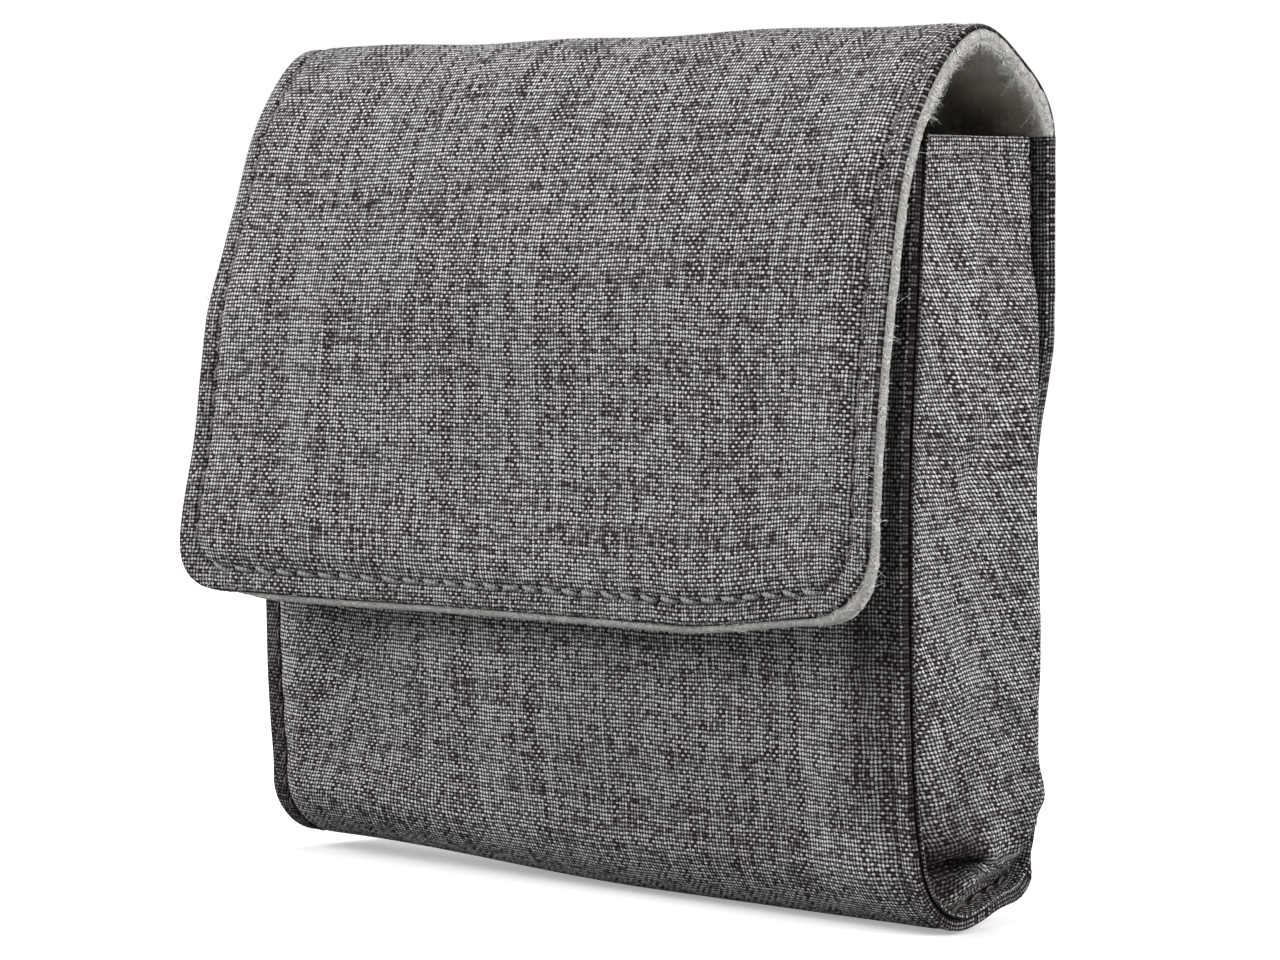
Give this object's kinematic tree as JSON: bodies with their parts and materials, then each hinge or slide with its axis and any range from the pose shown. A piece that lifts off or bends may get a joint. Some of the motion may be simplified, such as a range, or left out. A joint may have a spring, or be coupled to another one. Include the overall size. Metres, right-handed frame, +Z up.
{
  "type": "felt-lined flap pouch",
  "caption": "Woven fabric pouch with side gussets and pinched seams. Its felt-lined flap arches over the top, folds down the front and closes on a hook-and-loop patch.",
  "frame": {"origin": "on the flat of the base, half way across the width and half way between the front and back seams", "axes": "+X along the width, to the right when the front is seen; +Y out of the back, so the flap closes at -Y; +Z up"},
  "size_m": [0.119, 0.0362, 0.106],
  "materials": {
    "weave": "melange plain weave",
    "felt": "soft napped felt",
    "hook_and_loop": "matte"
  },
  "bodies": {
    "pouch": {"outer_wrap": "weave", "pocket_lining": "felt", "left_gusset": "weave", "right_gusset": "weave", "loop_patch": "hook_and_loop"},
    "flap_roof": {"flap_roof_cloth": "weave", "flap_roof_lining": "felt"},
    "flap_front": {"flap_front_cloth": "weave", "flap_front_lining": "felt", "hook_patch": "hook_and_loop"}
  },
  "joints": [
    {"name": "flap_back_fold", "type": "hinge", "parent": "pouch", "child": "flap_roof", "pos_m": [0, 0.0124, 0.09315], "axis": [-1, 0, 0], "range_deg": [0, 180]},
    {"name": "flap_crest_fold", "type": "hinge", "parent": "flap_roof", "child": "flap_front", "pos_m": [0, -0.00305, 0.10615], "axis": [-1, 0, 0], "range_deg": [0, 150]}
  ]
}
